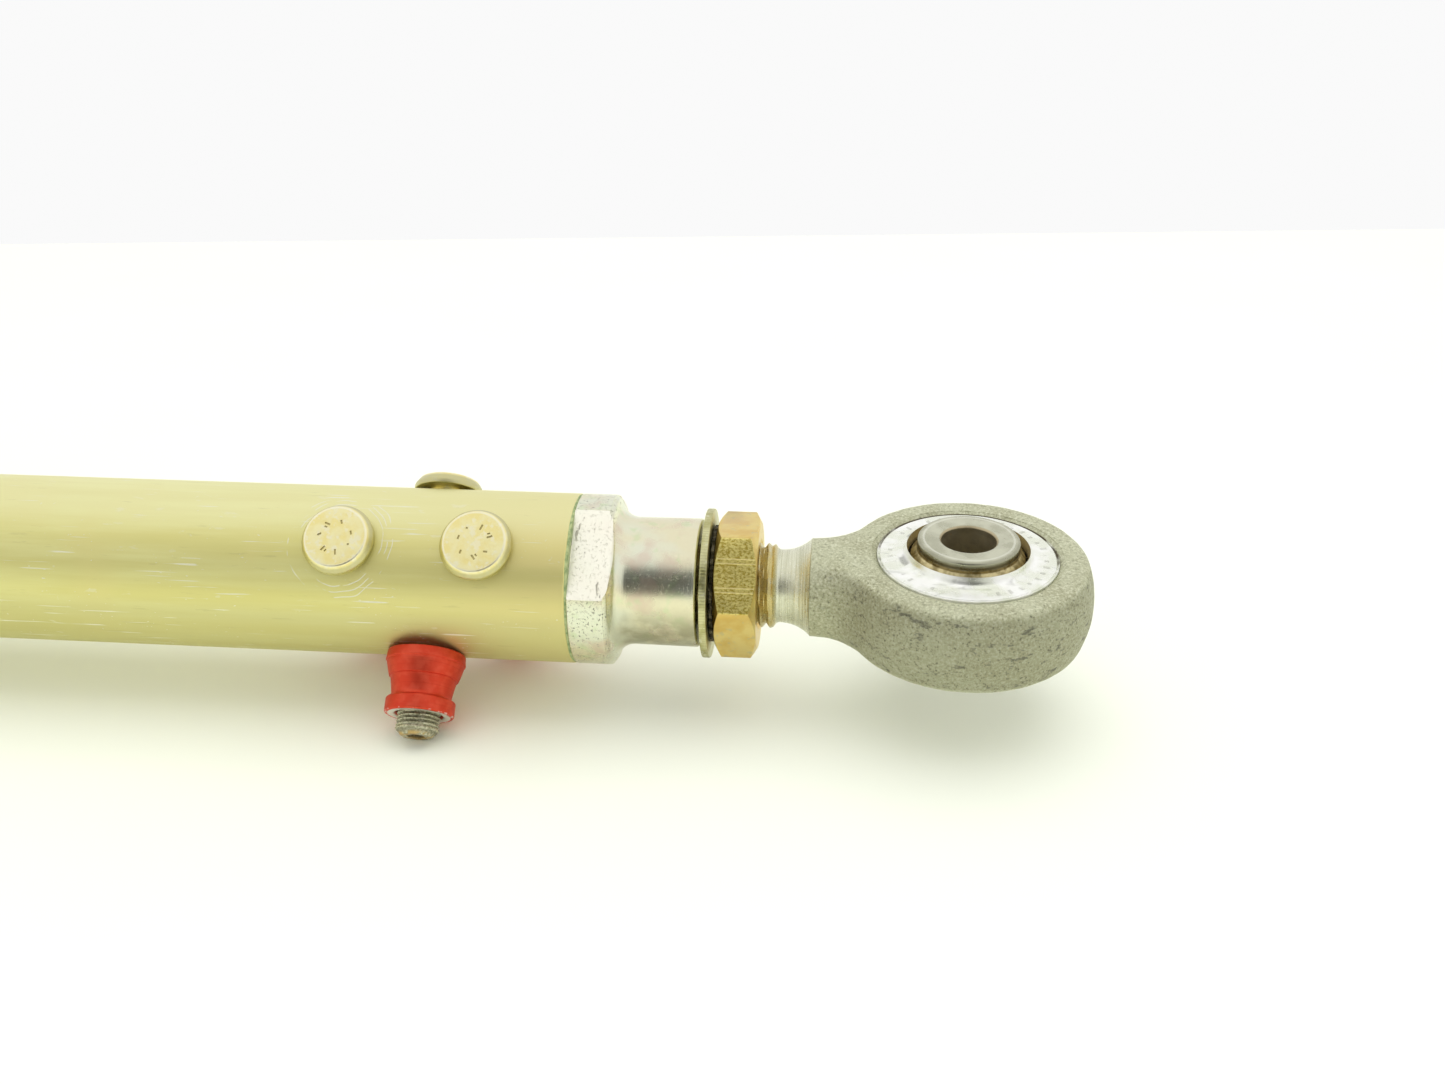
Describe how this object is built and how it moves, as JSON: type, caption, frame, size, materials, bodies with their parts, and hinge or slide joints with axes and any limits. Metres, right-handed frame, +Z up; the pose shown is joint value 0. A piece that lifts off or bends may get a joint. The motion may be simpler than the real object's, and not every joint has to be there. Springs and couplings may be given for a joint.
{
  "type": "rod end bearing",
  "caption": "Riveted aluminium tube link rod with a lockable, threaded spherical rod end bearing screwed into each end.",
  "frame": {"origin": "under the middle of the rod, on the surface that its six pin tips stand on", "axes": "+X along the rod towards end a, +Z up; the eyes' bore axes lean 3.5 degrees from +Z towards -Y"},
  "size_m": [0.342, 0.0392, 0.0331],
  "materials": {
    "tube": "pale gold-green chromate conversion coating over drawn tube, satin, with long scratches",
    "fitting": "turned and milled bar, thin iridescent conversion film, scuffed flat",
    "sealant": "cured green sealing compound, dull",
    "pin": "pale yellow cadmium plate, satin, with stamped marks",
    "collar": "red anodised, satin, with bare edges",
    "nut": "golden cadmium plate, satin, with rough flats",
    "washer": "olive-gold cadmium plate, satin",
    "lock_ring": "dark, oily steel",
    "forging": "grit-blasted forging, matt grey-green with dark specks",
    "race": "bright turned steel, staked at its outer edge",
    "liner": "woven brown low-friction liner",
    "ball": "ground hard steel, grey, with brown residue"
  },
  "bodies": {
    "rod": {"tube": "tube", "end_fitting_a": "fitting", "sealant_ring_a": "sealant", "pin_1_a": "pin", "collar_1_a": "collar", "pin_2_a": "pin", "collar_2_a": "collar", "pin_3_a": "pin", "collar_3_a": "collar", "end_fitting_b": "fitting", "sealant_ring_b": "sealant", "pin_1_b": "pin", "collar_1_b": "collar", "pin_2_b": "pin", "collar_2_b": "collar", "pin_3_b": "pin", "collar_3_b": "collar"},
    "rod_end_a": {"rod_end_body_a": "forging", "outer_race_a": "race", "liner_a": "liner"},
    "ball_a": {"ball_a": "ball"},
    "key_washer_a": {"key_washer_a": "washer", "lock_ring_a": "lock_ring"},
    "jam_nut_a": {"jam_nut_a": "nut"},
    "rod_end_b": {"rod_end_body_b": "forging", "outer_race_b": "race", "liner_b": "liner"},
    "ball_b": {"ball_b": "ball"},
    "key_washer_b": {"key_washer_b": "washer", "lock_ring_b": "lock_ring"},
    "jam_nut_b": {"jam_nut_b": "nut"}
  },
  "joints": [
    {"name": "rod_end_turn_a", "type": "hinge", "parent": "rod", "child": "rod_end_a", "pos_m": [0.1524, 0, 0.01959], "axis": [1, 0, 0], "continuous": true},
    {"name": "ball_tilt_a", "type": "hinge", "parent": "rod_end_a", "child": "ball_a", "pos_m": [0.1524, 0, 0.01959], "axis": [1, 0, 0], "range_deg": [-9, 9]},
    {"name": "washer_slide_a", "type": "slide", "parent": "rod_end_a", "child": "key_washer_a", "axis": [1, 0, 0], "range_m": [0, 0.0019]},
    {"name": "jam_nut_turn_a", "type": "hinge", "parent": "key_washer_a", "child": "jam_nut_a", "pos_m": [0.1524, 0, 0.01959], "axis": [1, 0, 0], "range_deg": [0, 540]},
    {"name": "rod_end_turn_b", "type": "hinge", "parent": "rod", "child": "rod_end_b", "pos_m": [-0.1524, 0, 0.01959], "axis": [1, 0, 0], "continuous": true},
    {"name": "ball_tilt_b", "type": "hinge", "parent": "rod_end_b", "child": "ball_b", "pos_m": [-0.1524, 0, 0.01959], "axis": [1, 0, 0], "range_deg": [-9, 9]},
    {"name": "washer_slide_b", "type": "slide", "parent": "rod_end_b", "child": "key_washer_b", "axis": [-1, 0, 0], "range_m": [0, 0.0019]},
    {"name": "jam_nut_turn_b", "type": "hinge", "parent": "key_washer_b", "child": "jam_nut_b", "pos_m": [-0.1524, 0, 0.01959], "axis": [1, 0, 0], "range_deg": [0, 540]}
  ],
  "couplings": [
    {"joint": "jam_nut_turn_a", "follows": "washer_slide_a", "rad_per_m": 4947.4},
    {"joint": "jam_nut_turn_b", "follows": "washer_slide_b", "rad_per_m": 4947.4}
  ]
}
